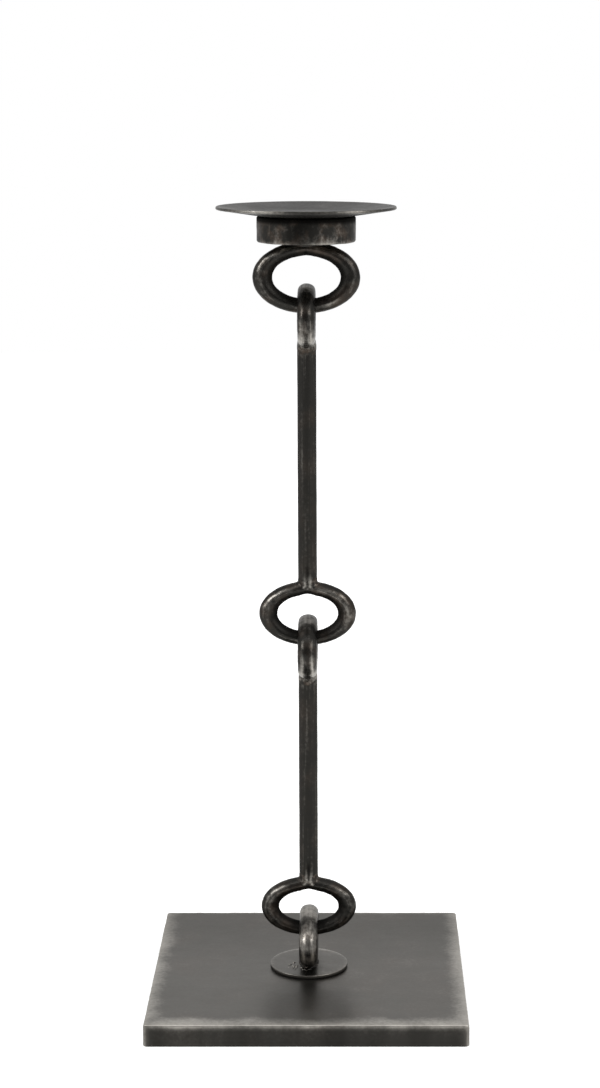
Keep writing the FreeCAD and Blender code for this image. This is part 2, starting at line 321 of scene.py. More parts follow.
def bent_grain(tree, width):
    """Grain of a width in millimetres that follows the bent bar of a loop, by the layers kept on it."""
    along = add_node(tree, "Attribute", attribute_name="bar_place").outputs["Vector"]
    around = add_node(tree, "Attribute", attribute_name="bar_turn").outputs["Fac"]
    return add_node(tree, "TexNoise", {"Vector": along, "W": around, "Scale": 1 / (width * MM),
                                       "Detail": 3.0}, noise_dimensions="4D")


def blackened_steel(name, colours, oxide, grain, mottle, cloudy, fleck, unevenness, brown, roughness, bump,
                    glance):
    """Steel under black oxide and wax: made bright by rubbing and painted highlight, and matt black by
    painted shade.

    grain is a width along a bent bar, or lengths along X, Y and Z; mottle is the size of the cloudy patches,
    and fleck that of the smallest marks, all in millimetres. cloudy is the share of the patches against the
    grain. glance is how bright the steel turns when it is seen at a low angle, which a rough coat holds down.
    """
    material, tree, output = new_material(name)
    place = add_node(tree, "TexCoord").outputs["Object"]
    rub_and_highlight = add_node(tree, "Attribute", attribute_name="rub_and_highlight").outputs["Fac"]
    ridge = add_node(tree, "Attribute", attribute_name="ridge").outputs["Fac"]
    painted_shade = add_node(tree, "Attribute", attribute_name="painted_shade").outputs["Fac"]
    strands = straight_grain(tree, place, grain) if isinstance(grain, tuple) else bent_grain(tree, grain)
    clouds = add_node(tree, "TexNoise", {"Vector": place, "Scale": 1 / (mottle * MM), "Detail": 4.0})
    marks = add_node(tree, "TexNoise", {"Vector": place, "Scale": 1 / (fleck * MM), "Detail": 5.0,
                                        "Roughness": 0.6})

    # Rubbing starts on the ridges and is broken up by the clouds, the grain and the small marks
    coarse = add_node(tree, "Mix", {0: cloudy, 2: strands.outputs["Fac"], 3: clouds.outputs["Fac"]},
                      data_type="FLOAT")
    spread = add_node(tree, "Math", {0: coarse.outputs[0], 1: 2.0, 2: marks.outputs["Fac"]},
                      operation="MULTIPLY_ADD")
    uneven = add_node(tree, "MapRange", {0: spread.outputs[0], 1: 1.05, 2: 1.95, 3: -unevenness,
                                         4: unevenness})
    raised = add_node(tree, "Math", {0: ridge, 1: 0.06, 2: uneven.outputs[0]}, operation="MULTIPLY_ADD")
    # The kept layer adds real rubbing and painted highlights alike, so both turn the steel bright
    worn = add_node(tree, "Math", {0: rub_and_highlight, 1: raised.outputs[0]}, operation="ADD")
    rubbed = add_node(tree, "MapRange", {0: worn.outputs[0], 1: 0.05, 2: 1.15},
                      interpolation_type="SMOOTHSTEP")

    tint = add_node(tree, "MapRange", {0: clouds.outputs["Fac"], 1: 0.45, 2: 0.72, 3: 0.0, 4: brown})
    black = add_node(tree, "Mix", {0: tint.outputs[0], 6: (*oxide, 1), 7: (*colours.heat_brown, 1)},
                     data_type="RGBA")
    steel = add_node(tree, "Mix", {0: rubbed.outputs[0], 6: black.outputs[2], 7: (*colours.rubbed_steel, 1)},
                     data_type="RGBA")
    # Painted shade: the kept layer of painted shade turns the steel matt black and rough
    colour = add_node(tree, "Mix", {0: painted_shade, 6: steel.outputs[2], 7: (*colours.painted_shade, 1)}, data_type="RGBA")
    satin = add_node(tree, "MapRange", {0: spread.outputs[0], 1: 1.0, 2: 2.0, 3: roughness + 0.07,
                                        4: roughness - 0.07})
    gloss = add_node(tree, "Mix", {0: painted_shade, 2: satin.outputs[0], 3: 0.85}, data_type="FLOAT")
    relief = add_node(tree, "Bump", {"Height": spread.outputs[0], "Strength": bump, "Distance": 0.1 * MM})
    shader = add_node(tree, "BsdfPrincipled", {"Base Color": colour.outputs[2], "Metallic": 1.0,
                                               "Roughness": gloss.outputs[0], "Normal": relief.outputs[0],
                                               "Specular Tint": (glance, glance, glance, 1)})
    tree.links.new(shader.outputs[0], output.inputs[0])
    return material


def plate_steel(colours):
    """Hot-rolled plate, blackened and waxed: a soft, cloudy, dark satin, bright at its edges."""
    return blackened_steel("hot_rolled_steel_waxed", colours, colours.plate_oxide, grain=(16, 9, 9),
                           mottle=26, cloudy=0.6, fleck=1.8, unevenness=0.22, brown=0.15, roughness=0.35,
                           bump=0.1, glance=0.85)


def loop_steel(colours):
    """Forged round bar: dark scale, with grey strands along the bar where it is rubbed."""
    return blackened_steel("forged_steel_hammered", colours, colours.black_oxide, grain=0.9, mottle=9,
                           cloudy=0.3, fleck=1.0, unevenness=0.2, brown=0.25, roughness=0.34,
                           bump=0.2, glance=0.6)


def rod_steel(colours):
    """Drawn round bar: smooth and dark, with faint grain along its length."""
    return blackened_steel("drawn_steel_blackened", colours, colours.black_oxide, grain=(1.2, 1.2, 40),
                           mottle=10, cloudy=0.25, fleck=1.6, unevenness=0.2, brown=0.1, roughness=0.4,
                           bump=0.15, glance=0.6)


def drum_steel(colours):
    """A sawn slice of bar: upright scrape marks, brown from the heat of welding, rubbed at its lower rim."""
    return blackened_steel("sawn_steel_heat_tinted", colours, colours.black_oxide, grain=(2.2, 2.2, 8),
                           mottle=6, cloudy=0.5, fleck=1.2, unevenness=0.28, brown=0.5, roughness=0.4,
                           bump=0.2, glance=0.7)


def pan_steel(colours):
    """Spun sheet: smooth, even grey satin, a little brown, a lip rubbed and painted highlight, and painted
    shade below.
    """
    return blackened_steel("spun_steel_waxed", colours, colours.black_oxide, grain=(20, 20, 4),
                           mottle=16, cloudy=0.5, fleck=2.0, unevenness=0.16, brown=0.1, roughness=0.46,
                           bump=0.1, glance=0.95)


def weld_metal(colours):
    """Wire-brushed weld metal: dark in its hollows, with bright flecks on its ripples and a little brown."""
    return blackened_steel("weld_metal_brushed", colours, colours.black_oxide, grain=(1.4, 1.4, 1.4),
                           mottle=4, cloudy=0.5, fleck=0.9, unevenness=0.3, brown=0.4, roughness=0.36,
                           bump=0.3, glance=0.6)


def zinc_plate(colours):
    """Zinc-plated fixing: pale, faintly cloudy and satin."""
    material, tree, output = new_material("zinc_plate_satin")
    place = add_node(tree, "TexCoord").outputs["Object"]
    clouds = add_node(tree, "TexNoise", {"Vector": place, "Scale": 1 / (2.5 * MM), "Detail": 3.0})
    dulled = add_node(tree, "MapRange", {0: clouds.outputs["Fac"], 1: 0.3, 2: 0.7, 3: 0.0, 4: 0.25})
    colour = add_node(tree, "Mix", {0: dulled.outputs[0], 6: (*colours.zinc, 1),
                                    7: (*colours.dull_zinc, 1)}, data_type="RGBA")
    gloss = add_node(tree, "MapRange", {0: clouds.outputs["Fac"], 1: 0.3, 2: 0.7, 3: 0.26, 4: 0.4})
    shader = add_node(tree, "BsdfPrincipled", {"Base Color": colour.outputs[2], "Metallic": 1.0,
                                               "Roughness": gloss.outputs[0]})
    tree.links.new(shader.outputs[0], output.inputs[0])
    return material


# Base plate and foot disc

def model_plate(sizes):
    """The square plate: a fine grid drawn down to its thickness, rounded, nicked and bored for its nut."""
    low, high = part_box("base_plate")
    side = high.x - low.x
    cells = 72
    deselect_all()
    bpy.ops.mesh.primitive_grid_add(x_subdivisions=cells, y_subdivisions=cells, size=side,
                                    location=(0, 0, high.z))
    plate = placed()
    with edit_mode(plate):
        bpy.ops.mesh.extrude_region_move(TRANSFORM_OT_translate={"value": (0, 0, low.z - high.z)})
        bpy.ops.mesh.select_all(action="SELECT")
        bpy.ops.mesh.normals_make_consistent(inside=False)
        choose(plate, "EDGE", upright)
        bpy.ops.mesh.subdivide(number_cuts=4)
        reach = side - TINY
        choose(plate, "EDGE", lambda start, end: upright(start, end) and abs(start.x) + abs(start.y) > reach)
        bpy.ops.mesh.bevel(offset=sizes.plate_corner_round, segments=4, affect="EDGES")
        border = side / 2 - 0.5 * sizes.plate_corner_round
        for height, radius in ((high.z, sizes.plate_edge_round), (low.z, 0.4 * sizes.plate_edge_round)):
            choose(plate, "EDGE", lambda start, end: level_at(height)(start, end)
                   and min(max(abs(start.x), abs(start.y)), max(abs(end.x), abs(end.y))) > border)
            bpy.ops.mesh.bevel(offset=radius, segments=4, affect="EDGES")
        bpy.ops.mesh.select_all(action="SELECT")
        bpy.ops.mesh.subdivide(number_cuts=1)
        choose(plate, "FACE", lambda middle, normal: normal.z < -0.999)
        bpy.ops.mesh.dissolve_faces()
    nick_plate(plate, side, high.z, sizes)
    bore_plate(plate)
    points = points_of(plate)
    keep_layer(plate, "rub_and_highlight", plate_wear(points, side, high.z, sizes))
    # Painted shade on the plate's sides, the back of its top and its underside
    keep_layer(plate, "painted_shade", plate_shade(points, side, high.z))
    return plate


def nick_plate(plate, side, top, sizes):
    """Nicks and a soft unevenness, only along the plate's edges."""
    points = points_of(plate)
    inset = side / 2 - np.abs(points[:, :2])
    inset.sort(axis=1)
    along_top = np.hypot(inset[:, 0], top - points[:, 2])
    upright_corner = np.hypot(inset[:, 0], inset[:, 1])
    nearest = np.minimum(along_top, upright_corner)
    clear_of_floor = np.clip((points[:, 2] - 1.0 * MM) / (2.0 * MM), 0.0, 1.0)
    keep_group(plate, "edges", np.clip(1.5 - nearest / (2.0 * MM), 0.0, 1.0) * clear_of_floor)
    dent(plate, "edge_waves", "CLOUDS", 9.0 * MM, sizes.plate_nick_depth, group="edges")
    dent(plate, "edge_nicks", "CLOUDS", 3.0 * MM, sizes.plate_nick_depth * 0.7, group="edges")


def bore_plate(plate):
    """The hole for the stud and the counterbore for its nut, each to the size of what it holds."""
    low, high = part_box("base_plate")
    stud_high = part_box("base_stud")[1]
    washer_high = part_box("base_washer")[1]
    clearance = 0.25 * MM
    recess_room = 3.0 * MM
    bores = ((stud_high.x + clearance, high.z + clearance), (washer_high.x + recess_room, washer_high.z))
    for radius, top in bores:
        bottom = low.z - clearance
        bore = stack_of_rows([(bottom, radius, radius), (top, radius, radius)], points=96)
        cut_away(plate, bore)
        bpy.data.objects.remove(bore)


def broken_line(along):
    """Uneven strength of a rub along an edge, from long and short waves that don't repeat."""
    long_waves = np.sin(along / (5 * MM)) * np.sin(along / (13 * MM) + 1.0)
    long_waves = long_waves + 0.6 * np.sin(along / (21 * MM) + 2.0)
    short_waves = np.sin(along / (1.7 * MM)) * np.sin(along / (3.7 * MM) + 0.5)
    return long_waves + 0.4 * short_waves


def plate_shade(points, side, top):
    """Painted shade: unevenly dark on the sides but not the corners, faint at the back of the top, even
    underneath.
    """
    x, y, z = points.T
    below = top - z
    uneven_side_shade = 0.7 - 0.04 * broken_line(x + y)
    on_sides = np.clip((below - 0.8 * MM) / (2.0 * MM), 0.0, 1.0)
    from_corner = np.hypot(side / 2 - np.abs(x), side / 2 - np.abs(y))
    painted_shade = uneven_side_shade * on_sides * (1.0 - fade(from_corner - 1.0 * MM, 1.2 * MM))
    behind = 0.16 * np.clip(y / (60 * MM), 0.0, 1.0) * (below < 1.0 * MM)
    return np.where(z < TINY, 0.35, np.maximum(painted_shade, behind))


def plate_wear(points, side, top, sizes):
    """How far the black is rubbed off: most at the front, in bands at the sides, and less at the back."""
    x, y, z = points.T
    width = sizes.plate_wear_width
    round_edge = sizes.plate_edge_round
    from_front = np.maximum(y + side / 2, 0.0)
    from_back = side / 2 - y
    from_side = side / 2 - np.abs(x)
    below = top - z
    broken = broken_line(x + y)
    ragged = 1.0 + 0.12 * broken
    bands = 0.8 * np.clip(1.0 - from_side / (2.1 * ragged * width), 0.0, 1.0)
    front = 0.75 * ragged * np.clip(1.0 - (from_front / (2.4 * ragged * width)) ** 1.5, 0.0, 1.0)
    back = 0.35 / (1.0 + np.exp((from_back - 0.8 * width) / (0.2 * width)))
    rubbed_top = np.maximum(np.maximum(front, bands), back)
    drawn_down = np.maximum(0.25 + 0.15 * broken, 0.08) * width
    rubbed_side = 0.12 + (0.4 + 0.2 * broken) * fade(below - 0.8 * round_edge, drawn_down)
    from_corner = np.hypot(from_side, np.minimum(from_front, from_back))
    upright_edge = 0.45 * fade(from_corner - 1.0 * MM, 1.0 * MM)
    on_top = below < 0.5 * round_edge
    rubbed = np.maximum(np.where(on_top, rubbed_top, rubbed_side), upright_edge)
    return np.where(z < TINY, 0.0, rubbed)


def model_disc():
    """The thin round foot disc: rounded rim, and a top that is a little uneven."""
    low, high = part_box("base_disc")
    radius = high.x
    rim = 0.35 * MM
    deselect_all()
    bpy.ops.mesh.primitive_cylinder_add(vertices=128, radius=radius, depth=high.z - low.z,
                                        location=(low + high) / 2)
    disc = placed()
    with edit_mode(disc):
        choose(disc, "EDGE", level_at(low.z, high.z))
        bpy.ops.mesh.bevel(offset=rim, segments=3, affect="EDGES")
        choose(disc, "FACE", lambda middle, normal: normal.z > 0.99 and middle.xy.length < TINY)
        for _ in range(13):
            bpy.ops.mesh.inset(thickness=1.5 * MM)
    dent(disc, "disc_waves", "CLOUDS", 7.0 * MM, 0.15 * MM)
    points = points_of(disc)
    reach = np.hypot(points[:, 0], points[:, 1])
    below = high.z - points[:, 2]
    # The bright rim is edge wear with a painted highlight: brighter at the back than at the front
    behind = 0.75 + 0.25 * points[:, 1] / radius
    on_rim = 0.45 * behind * fade(radius - reach - 1.0 * MM, 1.2 * MM) * fade(below - 0.3 * MM, 0.2 * MM)
    scorched = 0.06 - 0.2 * fade(np.abs(reach - 7.0 * MM), 3.0 * MM)
    keep_layer(disc, "rub_and_highlight", on_rim + scorched)
    # Painted shade on the disc's side, below its rim
    keep_layer(disc, "painted_shade", 0.8 * np.clip((below - 0.5 * MM) / (0.5 * MM), 0.0, 1.0))
    return disc


class CANDLESTAND_OT_base(bpy.types.Operator):
    """Model the plate with its rubbed edges, and the thin disc in its middle"""
    bl_idname = "candle_stand.base"
    bl_label = "Plate and Disc"

    def execute(self, context):
        sizes = context.scene.candle_stand_sizes
        steel = plate_steel(context.scene.candle_stand_colours)
        finish_piece(model_plate(sizes), "base_plate_worn", steel, "base_plate")
        finish_piece(model_disc(), "base_disc_worn", steel, "base_disc")
        return {"FINISHED"}


# Loops

# Points along a loop's bar and round it
LOOP_STEPS = 240
BAR_STEPS = 56
# How high the crown of each link was drawn, and how wide its bar is against its solid
LINK_RISE = {"base_link": 0.0, "middle_link": 0.9 * MM, "upper_link": 0.6 * MM}
LINK_SHARE = {"base_link": 1.0, "middle_link": 1.0, "upper_link": 0.94}
# How far the grinder made the lower end of each link bright, at its flanks and in its middle
GROUND = {"base_link": (0.0, 0.0), "middle_link": (0.8, 0.35), "upper_link": (0.7, 0.5)}
# How strong the painted highlight streaks are on the front of each link, on both sides of its middle
LINK_SIDE_HIGHLIGHT = {"base_link": 0.3, "middle_link": 0.4, "upper_link": 0.2}


def model_loop(node, sizes):
    """One loop: a torus drawn out to the oval of its solid, then hammered."""
    low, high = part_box(node)
    centre = (low + high) / 2
    spans = (high.x - low.x, high.y - low.y)
    length, bar = max(spans), min(spans)
    turn = 0.0 if spans[0] > spans[1] else math.pi / 2
    deselect_all()
    bpy.ops.mesh.primitive_torus_add(major_segments=LOOP_STEPS, minor_segments=BAR_STEPS, location=centre,
                                     rotation=(math.pi / 2, 0, turn), major_radius=(length - bar) / 2,
                                     minor_radius=bar / 2, generate_uvs=False)
    loop = placed()
    with edit_mode(loop):
        bpy.ops.transform.resize(value=(1, 1, (high.z - low.z) / length), center_override=centre)
    apply_modifier(loop, "SHRINKWRAP", target=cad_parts[node], wrap_method="NEAREST_SURFACEPOINT")
    apply_modifier(loop, "SMOOTH", factor=0.5, iterations=3)
    hammer_loop(loop, sizes)
    keep_bar_grain(loop, (length - bar) / 2, bar / 2)
    return loop


def keep_bar_grain(loop, loop_radius, bar_radius):
    """Keep where each point lies along and round the bar, as two circles, so that the grain has no seam.

    The circle along the bar is drawn small, which draws the grain out along the bar.
    """
    stretch = 14
    along = np.repeat(np.arange(LOOP_STEPS), BAR_STEPS) * 2 * math.pi / LOOP_STEPS
    around = np.tile(np.arange(BAR_STEPS), LOOP_STEPS) * 2 * math.pi / BAR_STEPS
    drawn = loop_radius / stretch
    rows = (drawn * np.cos(along), drawn * np.sin(along), bar_radius * np.cos(around))
    keep_layer(loop, "bar_place", np.stack(rows, axis=1))
    keep_layer(loop, "bar_turn", bar_radius * np.sin(around))


def pull_up(piece, chosen, rise, falloff, reach):
    """In edit mode, move the chosen points up by a rise, and take along what lies within a reach of them."""
    bpy.ops.mesh.select_mode(type="VERT")
    bpy.ops.mesh.select_all(action="DESELECT")
    bpy.ops.object.mode_set(mode="OBJECT")
    piece.data.vertices.foreach_set("select", chosen)
    bpy.ops.object.mode_set(mode="EDIT")
    bpy.ops.transform.translate(value=(0, 0, rise), use_proportional_edit=True,
                                proportional_edit_falloff=falloff, proportional_size=reach)


def raise_crown(link, node, rise):
    """The crown of a link, drawn a little higher than its solid, and its bar a little narrower."""
    low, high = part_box(node)
    depth = 10 * MM
    crown = points_of(link)[:, 2] > high.z - depth
    with edit_mode(link):
        bpy.ops.transform.resize(value=(LINK_SHARE[node], 1, 1), center_override=(0, 0, low.z))
        pull_up(link, crown, rise, "SMOOTH", depth)


def hammer_loop(loop, sizes):
    """Uneven drawing out and hammer marks, with the height of each point kept for the finish."""
    smooth = points_of(loop)
    outwards = points_of(loop, "normal")
    dent(loop, "forge_swell", "CLOUDS", 11.0 * MM, sizes.forge_swell, still_level=0.0)
    dent(loop, "hammer_marks", "VORONOI", sizes.hammer_mark_width, sizes.hammer_mark_depth, still_level=0.5)
    height = ((points_of(loop) - smooth) * outwards).sum(axis=1)
    keep_layer(loop, "ridge", (height - height.mean()) / height.std())


def notch_ring(ring, node, notch):
    """A small peak in the top of the eye, where the two ends of the ring's bar meet under the weld."""
    low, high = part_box(node)
    points = points_of(ring)
    bar = high.y - low.y
    near_joint = (np.abs(points[:, 0]) < 0.4 * MM) & (np.abs(points[:, 1]) < 0.4 * bar)
    in_top_half = points[:, 2] > (low.z + high.z) / 2
    crown = points[near_joint & in_top_half]
    middle_of_bar = (crown[:, 2].min() + crown[:, 2].max()) / 2
    chosen = near_joint & in_top_half & (points[:, 2] < middle_of_bar)
    with edit_mode(ring):
        pull_up(ring, chosen, notch, "LINEAR", 4.5 * MM)


def link_wear_and_highlight(link, node, sizes):
    """Ground bright where welded to a rod; painted highlight streaks in front; crown partly rubbed, partly
    painted highlight.
    """
    low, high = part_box(node)
    x, _, z = points_of(link).T
    at_flanks, in_middle = GROUND[node]
    flank = np.clip(np.abs(x) / (2.8 * MM), 0.0, 1.0) ** 2
    ground = in_middle + (at_flanks - in_middle) * flank
    ground = ground * fade(z - low.z - 1.2 * sizes.ground_zone, 0.7 * sizes.ground_zone)
    # The crown is partly rubbed and partly painted highlight
    crown = 0.45 * fade(high.z - z, 3.0 * MM)
    middle = low.z + 0.35 * (high.z - low.z)
    # Painted highlight: two upright streaks beside the middle of the link's front
    beside = np.exp(-((np.abs(x) - 2.6 * MM) / (0.9 * MM)) ** 2)
    scrape = LINK_SIDE_HIGHLIGHT[node] * beside * np.exp(-((z - middle) / (8 * MM)) ** 2)
    handled = 0.3 if node == "base_link" else 0.03
    keep_layer(link, "rub_and_highlight", handled + ground + crown + scrape)


# Where each ring is rubbed and given painted highlights: the angle from +X up towards +Z and its spread,
# in degrees, the place across the bar from 1 outside to -1 in the eye, and how much
RING_RUBS_AND_HIGHLIGHTS = {
    "lower_ring": ((150, 35, 0.5, 0.28), (15, 30, 0.4, 0.16)),
    "middle_ring": ((150, 30, 0.5, 0.32), (120, 18, 0.2, 0.16), (60, 18, 0.25, 0.25), (15, 45, 0.1, 0.28)),
    "top_ring": ((148, 34, 0.4, 0.24), (-45, 15, 0.2, 0.24)),
}


def ring_rubs_and_painted_light(ring, node):
    """Painted highlight on the bar's middle, rubs mixed with painted highlights, and painted shade in the
    eye.
    """
    low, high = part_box(node)
    centre = np.array((low + high) / 2)
    outwards = points_of(ring, "normal")
    arms = points_of(ring) - centre
    arms[:, 1] = 0.0
    arms /= np.linalg.norm(arms, axis=1)[:, None]
    outer = (outwards * arms).sum(axis=1)
    # Painted highlight along the middle of the bar
    rub_and_highlight = 0.12 * np.exp(-((outer - 0.3) / 0.4) ** 2)
    angle = np.degrees(np.arctan2(arms[:, 2], arms[:, 0]))
    for middle, spread, across, amount in RING_RUBS_AND_HIGHLIGHTS[node]:
        turn = (angle - middle + 180) % 360 - 180
        rub_and_highlight = rub_and_highlight + amount * np.exp(-(turn / spread) ** 2 - ((outer - across) / 0.3) ** 2)
    keep_layer(ring, "rub_and_highlight", rub_and_highlight)
    # Painted shade inside the eye, deepest at the top where the ends meet
    at_joint = np.exp(-((points_of(ring)[:, 0]) / (1.2 * MM)) ** 2) * (arms[:, 2] > 0.0)
    keep_layer(ring, "painted_shade", (0.8 + 0.2 * at_joint) * np.clip(-1.6 * outer - 0.4 + 0.5 * at_joint, 0.0, 1.0))


class CANDLESTAND_OT_loops(bpy.types.Operator):
    """Model the six hammered loops of the stem"""
    bl_idname = "candle_stand.loops"
    bl_label = "Loops"

    def execute(self, context):
        sizes = context.scene.candle_stand_sizes
        steel = loop_steel(context.scene.candle_stand_colours)
        for node in LINKS:
            link = model_loop(node, sizes)
            raise_crown(link, node, LINK_RISE[node])
            link_wear_and_highlight(link, node, sizes)
            finish_piece(link, node + "_forged", steel, node)
        for node in RINGS:
            ring = model_loop(node, sizes)
            notch_ring(ring, node, sizes.bar_joint_notch * (0.5 if node == "top_ring" else 1.0))
            ring_rubs_and_painted_light(ring, node)
            finish_piece(ring, node + "_forged", steel, node)
        return {"FINISHED"}


# Rods

def foot_lines_and_shade(points, seat):
    """Two bright lines down a rod's foot that part on its ring, partly rubbed, partly painted highlight;
    painted shade between.
    """
    x, _, z = points.T
    above = np.maximum(z - seat, 0.0)
    below = np.maximum(seat - z, 0.0)
    apart = 1.3 * MM + 0.8 * below
    lines = np.exp(-((np.abs(x) - apart) / (1.0 * MM)) ** 2) * fade(above - 4 * MM, 2.5 * MM)
    hollow = np.exp(-(x / (0.9 * MM)) ** 2 - ((above - 8 * MM) / (3 * MM)) ** 2)
    return 0.4 * lines, 0.7 * hollow


def model_rod(node, ring, sizes):
    """A round bar: rounded at its head and cut at its foot to sit on its ring."""
    low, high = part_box(node)
    deselect_all()
    bpy.ops.mesh.primitive_cylinder_add(vertices=64, radius=high.x, depth=high.z - low.z,
                                        location=(low + high) / 2)
    rod = placed()
    with edit_mode(rod):
        choose(rod, "EDGE", upright)
        bpy.ops.mesh.subdivide(number_cuts=120)
        choose(rod, "EDGE", level_at(high.z))
        bpy.ops.mesh.bevel(offset=0.6 * MM, segments=3, affect="EDGES")
    dent(rod, "rod_waves", "CLOUDS", 9.0 * MM, 0.16 * MM, still_level=0.0)
    cut_away(rod, ring)
    points = points_of(rod)
    head = 0.28 * fade(high.z - points[:, 2] - 0.3 * sizes.ground_zone, 0.4 * sizes.ground_zone)
    # Bright lines, partly painted highlight, and painted shade between them
    streaks, hollow = foot_lines_and_shade(points, low.z)
    keep_layer(rod, "rub_and_highlight", 0.06 + head + streaks)
    keep_layer(rod, "painted_shade", hollow)
    keep_layer(rod, "ridge", np.zeros(len(points)))
    return rod


class CANDLESTAND_OT_rods(bpy.types.Operator):
    """Model the two straight round bars of the stem"""
    bl_idname = "candle_stand.rods"
    bl_label = "Rods"

    def execute(self, context):
        sizes = context.scene.candle_stand_sizes
        steel = rod_steel(context.scene.candle_stand_colours)
        for node, (ring, _) in RODS.items():
            rod = model_rod(node, bpy.data.objects[ring + "_forged"], sizes)
            finish_piece(rod, node + "_drawn", steel, node)
        return {"FINISHED"}


# Welds

def ball(centre, reach):
    """An ellipsoid that marks out the zone of a weld."""
    deselect_all()
    bpy.ops.mesh.primitive_uv_sphere_add(segments=48, ring_count=24, radius=1.0, location=centre,
                                         scale=reach)
    return placed()


def end_in_zone(piece, zone):
    """A copy of the part of a piece that lies inside a zone."""
    select_only(piece)
    bpy.ops.object.duplicate()
    end = bpy.context.active_object
    apply_modifier(end, "BOOLEAN", object=zone, operation="INTERSECT", solver="MANIFOLD")
    return end


def melt(core, centre, reach, neighbours, spread, proud=0.0):
    """Weld metal that joins its neighbours inside a zone of a given reach.

    Copies of their ends and a core are melted into one lump, and smoothing draws it hollow into the corners.
    The lump stands proud at the middle of its zone and sinks into the bars towards the rim of the zone.
    """
    zone = ball(centre, reach)
    ends = [end_in_zone(bpy.data.objects[neighbour], zone) for neighbour in neighbours]
    bpy.data.objects.remove(zone)
    join_pieces(core, ends)
    apply_modifier(core, "REMESH", mode="VOXEL", voxel_size=0.3 * MM)
    apply_modifier(core, "SMOOTH", factor=0.5, iterations=spread)
    sunk = 0.25 * MM
    distance = np.linalg.norm((points_of(core) - np.array(centre)) / np.array(reach), axis=1)
    keep_group(core, "middle", np.clip(2.2 - 2.4 * distance, 0.0, 1.0))
    apply_modifier(core, "DISPLACE", strength=-sunk, mid_level=0.0)
    apply_modifier(core, "DISPLACE", strength=sunk + proud, mid_level=0.0, vertex_group="middle")
    dent(core, "weld_ripple", "CLOUDS", 1.6 * MM, 0.2 * MM)
    return core


def model_foot_weld(rod, ring):
    """A hollow flare from a rod's foot out along the bar of its ring."""
    low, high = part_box(rod)
    ring_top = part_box(ring)[1].z
    radius = high.x
    seat = low.z
    core = stack_of_rows([(seat - 3 * MM, 0.7 * radius, 0.92 * radius),
                          (seat - 1.5 * MM, 0.9 * radius, 0.98 * radius),
                          (seat, 1.02 * radius, 1.02 * radius),
                          (seat + 4 * MM, radius, radius)])
    reach = (11 * MM, 9 * MM, 9 * MM)
    weld = melt(core, (0, 0, ring_top - 1 * MM), reach, (ring + "_forged", rod + "_drawn"),
                spread=30, proud=0.3 * MM)
    # Bright lines, partly painted highlight, and painted shade between them
    streaks, hollow = foot_lines_and_shade(points_of(weld), seat)
    keep_layer(weld, "rub_and_highlight", 0.1 + streaks)
    keep_layer(weld, "painted_shade", hollow)
    return weld


# How far above a rod's head the bright weld of its neck starts to turn dark
NECK_DARK = {"lower_rod": -0.5 * MM, "upper_rod": 1.2 * MM}


def model_neck_weld(rod, link):
    """Ground weld that fills the corner between a rod's head and the front and back of the link on it."""
    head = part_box(rod)[1].z
    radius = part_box(rod)[1].x
    core = stack_of_rows([(head - 4 * MM, 1.02 * radius, 1.02 * radius),
                          (head - 1.5 * MM, 1.04 * radius, 1.08 * radius),
                          (head + 1.5 * MM, 1.02 * radius, 1.35 * radius),
                          (head + 4 * MM, 0.96 * radius, 1.65 * radius)])
    weld = melt(core, (0, 0, head + 1 * MM), (8 * MM, 11 * MM, 9 * MM), (link + "_forged", rod + "_drawn"),
                spread=16, proud=0.25 * MM)
    x, _, z = points_of(weld).T
    flanks = np.clip(np.abs(x) / (0.8 * radius), 0.0, 1.0) ** 2
    lower_down = fade(head + NECK_DARK[rod] - z, 1.2 * MM)
    # Painted highlight: the ground weld is made lighter to the right
    to_the_right = 0.85 + 0.2 * np.clip(x / radius, -1.0, 1.0)
    keep_layer(weld, "rub_and_highlight", (0.36 + 0.1 * flanks) * to_the_right * lower_down)
    # Painted shade: a small dark spot in the middle of the weld at the rod's head
    keep_layer(weld, "painted_shade", 0.1 * np.exp(-(x / (0.8 * MM)) ** 2 - ((z - head) / (1.2 * MM)) ** 2))
    return weld


def model_crossing_weld(node, link, ring):
    """Fillets of weld in the saddle between a link and a ring."""
    low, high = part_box(node)
    room = 0.5 * MM
    rise = LINK_RISE[link]
    core = stack_of_rows([(low.z - room, high.x, high.x), (high.z + rise + room, high.x, high.x)])
    weld = melt(core, (low + high) / 2, (9 * MM, 9 * MM, 7 * MM), (link + "_forged", ring + "_forged"),
                spread=30)
    keep_layer(weld, "rub_and_highlight", np.full(len(weld.data.vertices), 0.3))
    return weld


def model_seat_weld(node, loop, seat, height):
    """A hollow bead round the flat of a loop, against the disc or the drum that it stands on."""
    low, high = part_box(node)
    share = 0.85
    core = stack_of_rows([(low.z, share * high.x, share * high.y), (high.z, share * high.x, share * high.y)])
    reach = (high.x + 4 * MM, high.y + 4 * MM, 5 * MM)
    weld = melt(core, (0, 0, height), reach, (loop + "_forged", seat), spread=20)
    keep_layer(weld, "rub_and_highlight", np.full(len(weld.data.vertices), 0.05))
    return weld


def add_spatter(weld):
    """Small bright beads of spatter that welding threw onto the disc, most of them at its front left."""
    draw = random.Random(7)
    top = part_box("base_disc")[1].z
    beads = []
    for _ in range(24):
        angle = math.radians(draw.gauss(240, 26))
        reach = draw.uniform(8, 14) * MM
        size = draw.uniform(0.4, 1.1) * MM
        deselect_all()
        place = (reach * math.cos(angle), reach * math.sin(angle), top)
        bpy.ops.mesh.primitive_ico_sphere_add(subdivisions=2, radius=size, scale=(1, 0.8, 0.3),
                                              location=place)
        bead = placed()
        keep_layer(bead, "rub_and_highlight", np.full(len(bead.data.vertices), 0.55))
        beads.append(bead)
    join_pieces(weld, beads)


